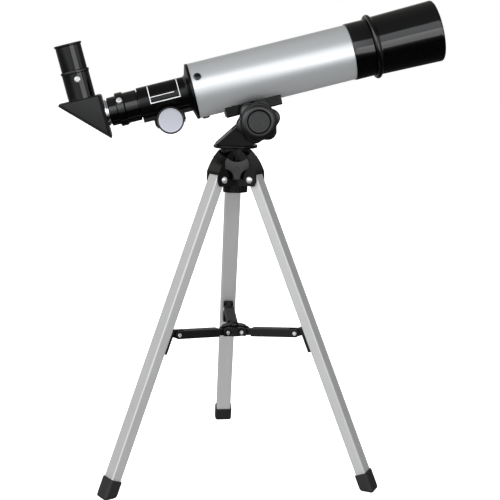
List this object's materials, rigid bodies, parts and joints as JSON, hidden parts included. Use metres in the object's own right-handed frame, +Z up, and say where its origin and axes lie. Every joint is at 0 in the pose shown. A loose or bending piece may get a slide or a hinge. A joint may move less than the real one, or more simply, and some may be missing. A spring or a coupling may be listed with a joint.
{
  "type": "tabletop refracting telescope",
  "caption": "Small refracting telescope with a star diagonal and eyepiece on an altitude and pan mount and a folding tabletop tripod with a spreader brace.",
  "frame": {"origin": "point on the floor directly under the pan axis, at the middle of the tripod", "axes": "+Z up along the pan axis; the tube lies in the XZ plane with its objective towards +X; one tripod leg points along +Y"},
  "size_m": [0.4026, 0.2547, 0.5028],
  "materials": {
    "silver_tube": "satin silver lacquer",
    "black_gloss": "polished black moulding",
    "black_satin": "fine matt black moulding",
    "knob_black": "smooth dark grey moulding",
    "cap_silver": "brushed silver disc",
    "steel": "plated steel",
    "chrome": "polished chrome",
    "leg_aluminium": "anodised aluminium",
    "rubber": "soft black rubber",
    "glass": "coated optical glass",
    "mirror": "silvered glass"
  },
  "bodies": {
    "crown": {"crown": "black_satin", "leg_pivot_pins": "cap_silver"},
    "pan_head": {"pan_head": "black_satin", "altitude_bolt": "steel", "pan_bolt": "steel", "pan_washer": "steel"},
    "altitude_knob": {"altitude_knob": "knob_black", "altitude_knob_cap": "knob_black"},
    "tube": {"main_tube": "silver_tube", "tube_screws": "black_gloss", "lens_cell": "black_gloss", "flint_lens": "glass", "crown_lens": "glass", "lens_spacer": "black_satin", "lens_ring": "black_satin", "light_baffle": "black_satin", "rear_cell": "black_gloss", "pinion_cover": "black_satin", "pinion_cover_screws": "steel", "tube_saddle": "black_satin", "saddle_screws": "steel"},
    "dew_shield": {"dew_shield": "black_gloss"},
    "focus_shaft": {"focus_shaft": "steel", "pinion": "black_satin", "focus_knobs": "black_gloss", "focus_knob_caps": "cap_silver"},
    "draw_tube": {"draw_tube": "black_satin"},
    "collar_thumb_screw": {"collar_thumb_screw": "steel"},
    "diagonal": {"diagonal_body": "black_satin", "diagonal_cover": "black_satin", "diagonal_mirror": "mirror", "diagonal_barrel": "chrome"},
    "holder_thumb_screw": {"holder_thumb_screw": "steel"},
    "eyepiece": {"eyepiece_barrel": "chrome", "eyepiece_body": "black_satin", "eye_lens": "glass", "field_lens": "glass", "field_stop": "black_satin"},
    "brace_hub": {"brace_hub": "black_satin", "hub_cap": "black_satin", "hub_rivets": "cap_silver"},
    "leg_back": {"leg_back": "leg_aluminium", "leg_plug_back": "black_satin", "foot_back": "rubber", "leg_bracket_back": "black_satin"},
    "brace_arm_back": {"brace_arm_back": "black_satin", "arm_pin_back": "cap_silver"},
    "leg_left": {"leg_left": "leg_aluminium", "leg_plug_left": "black_satin", "foot_left": "rubber", "leg_bracket_left": "black_satin"},
    "brace_arm_left": {"brace_arm_left": "black_satin", "arm_pin_left": "cap_silver"},
    "leg_right": {"leg_right": "leg_aluminium", "leg_plug_right": "black_satin", "foot_right": "rubber", "leg_bracket_right": "black_satin"},
    "brace_arm_right": {"brace_arm_right": "black_satin", "arm_pin_right": "cap_silver"}
  },
  "joints": [
    {"name": "pan", "type": "hinge", "parent": "crown", "child": "pan_head", "pos_m": [0, 0, 0.3515], "axis": [0, 0, 1], "continuous": true},
    {"name": "altitude", "type": "hinge", "parent": "pan_head", "child": "tube", "pos_m": [0.0209, 0, 0.3787], "axis": [0, -1, 0], "range_deg": [-40, 27]},
    {"name": "altitude_knob_turn", "type": "hinge", "parent": "pan_head", "child": "altitude_knob", "pos_m": [0.0209, -0.03, 0.3787], "axis": [0, -1, 0], "range_deg": [0, 180]},
    {"name": "focus_turn", "type": "hinge", "parent": "tube", "child": "focus_shaft", "pos_m": [-0.06818, 0, 0.37957], "axis": [0, -1, 0], "range_deg": [0, 500]},
    {"name": "draw_tube_slide", "type": "slide", "parent": "tube", "child": "draw_tube", "axis": [-0.9694, 0, -0.2453], "range_m": [0, 0.0471]},
    {"name": "dew_shield_slide", "type": "slide", "parent": "tube", "child": "dew_shield", "axis": [0.9694, 0, 0.2453], "range_m": [0, 0.014]},
    {"name": "collar_thumb_screw_turn", "type": "hinge", "parent": "draw_tube", "child": "collar_thumb_screw", "pos_m": [-0.11769, 0, 0.38932], "axis": [-0.1227, -0.866, 0.4847], "range_deg": [0, 180]},
    {"name": "diagonal_turn", "type": "hinge", "parent": "draw_tube", "child": "diagonal", "pos_m": [-0.12118, 0, 0.38844], "axis": [0.9694, 0, 0.2453], "range_deg": [-90, 90]},
    {"name": "holder_thumb_screw_turn", "type": "hinge", "parent": "diagonal", "child": "holder_thumb_screw", "pos_m": [-0.16139, -0.015, 0.41973], "axis": [0, -1, 0], "range_deg": [0, 180]},
    {"name": "eyepiece_slide", "type": "slide", "parent": "diagonal", "child": "eyepiece", "axis": [-0.2453, 0, 0.9694], "range_m": [0, 0.02]},
    {"name": "leg_fold_back", "type": "hinge", "parent": "crown", "child": "leg_back", "pos_m": [0, 0.0212, 0.318], "axis": [-1, 0, 0], "range_deg": [0, 9]},
    {"name": "leg_fold_left", "type": "hinge", "parent": "crown", "child": "leg_left", "pos_m": [-0.01836, -0.0106, 0.318], "axis": [0.5, -0.866, 0], "range_deg": [0, 9]},
    {"name": "leg_fold_right", "type": "hinge", "parent": "crown", "child": "leg_right", "pos_m": [0.01836, -0.0106, 0.318], "axis": [0.5, 0.866, 0], "range_deg": [0, 9]},
    {"name": "brace_arm_fold_back", "type": "hinge", "parent": "leg_back", "child": "brace_arm_back", "pos_m": [0, 0.07245, 0.15893], "axis": [1, 0, 0], "range_deg": [0, 62.48]},
    {"name": "brace_arm_fold_left", "type": "hinge", "parent": "leg_left", "child": "brace_arm_left", "pos_m": [-0.06274, -0.03622, 0.15893], "axis": [-0.5, 0.866, 0], "range_deg": [0, 62.48]},
    {"name": "brace_arm_fold_right", "type": "hinge", "parent": "leg_right", "child": "brace_arm_right", "pos_m": [0.06274, -0.03622, 0.15893], "axis": [-0.5, -0.866, 0], "range_deg": [0, 62.48]},
    {"name": "brace_hub_slide", "type": "slide", "parent": "crown", "child": "brace_hub", "axis": [0, 0, -1], "range_m": [0, 0.05523]}
  ],
  "couplings": [
    {"joint": "focus_turn", "follows": "draw_tube_slide", "rad_per_m": 185.19},
    {"joint": "leg_fold_left", "follows": "leg_fold_back", "ratio": 1},
    {"joint": "leg_fold_right", "follows": "leg_fold_back", "ratio": 1},
    {"joint": "brace_arm_fold_back", "follows": "leg_fold_back", "ratio": 6.941},
    {"joint": "brace_arm_fold_left", "follows": "leg_fold_back", "ratio": 6.941},
    {"joint": "brace_arm_fold_right", "follows": "leg_fold_back", "ratio": 6.941},
    {"joint": "brace_hub_slide", "follows": "leg_fold_back", "m_per_rad": 0.3515}
  ]
}
